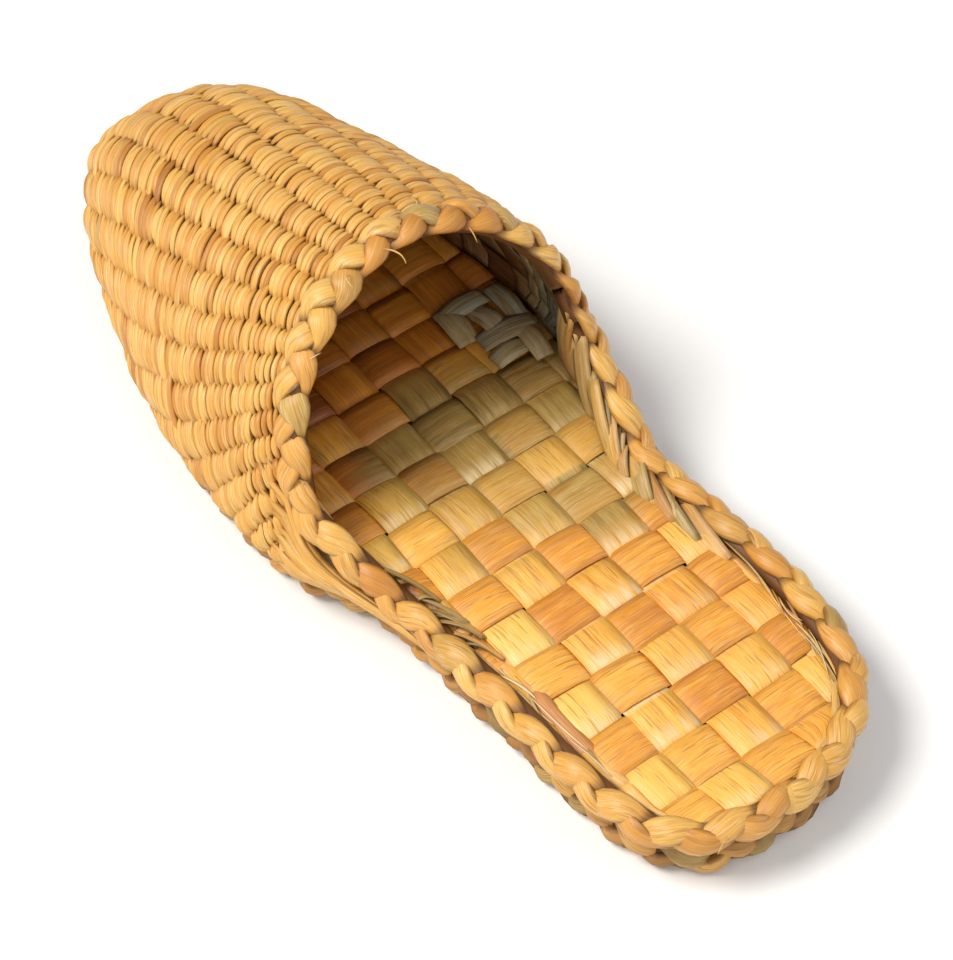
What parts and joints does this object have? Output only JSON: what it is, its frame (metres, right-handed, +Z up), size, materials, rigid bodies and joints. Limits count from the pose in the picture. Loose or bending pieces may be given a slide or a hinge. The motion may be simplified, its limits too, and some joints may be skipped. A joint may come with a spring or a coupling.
{
  "type": "woven straw slipper",
  "caption": "Left backless slipper with a closed toe: twined straw upper, plaited insole and a braided rim round heel and collar over a plaited sole.",
  "frame": {"origin": "on the floor, under the middle of the slipper's bounding box", "axes": "+Y from heel to toe, +X to the wearer's right, +Z up from the floor"},
  "size_m": [0.0993, 0.2636, 0.0764],
  "materials": {
    "outsole": "coarse plaited straw, brown and dull",
    "insole": "flat plaited straw strips, golden, waxy sheen",
    "upper": "twined straw strands, warm gold, satin",
    "rim_braid": "plait of folded straw strips, golden, satin"
  },
  "bodies": {
    "root": {"outsole": "outsole", "insole": "insole", "upper": "upper", "rim_braid": "rim_braid"}
  },
  "joints": []
}
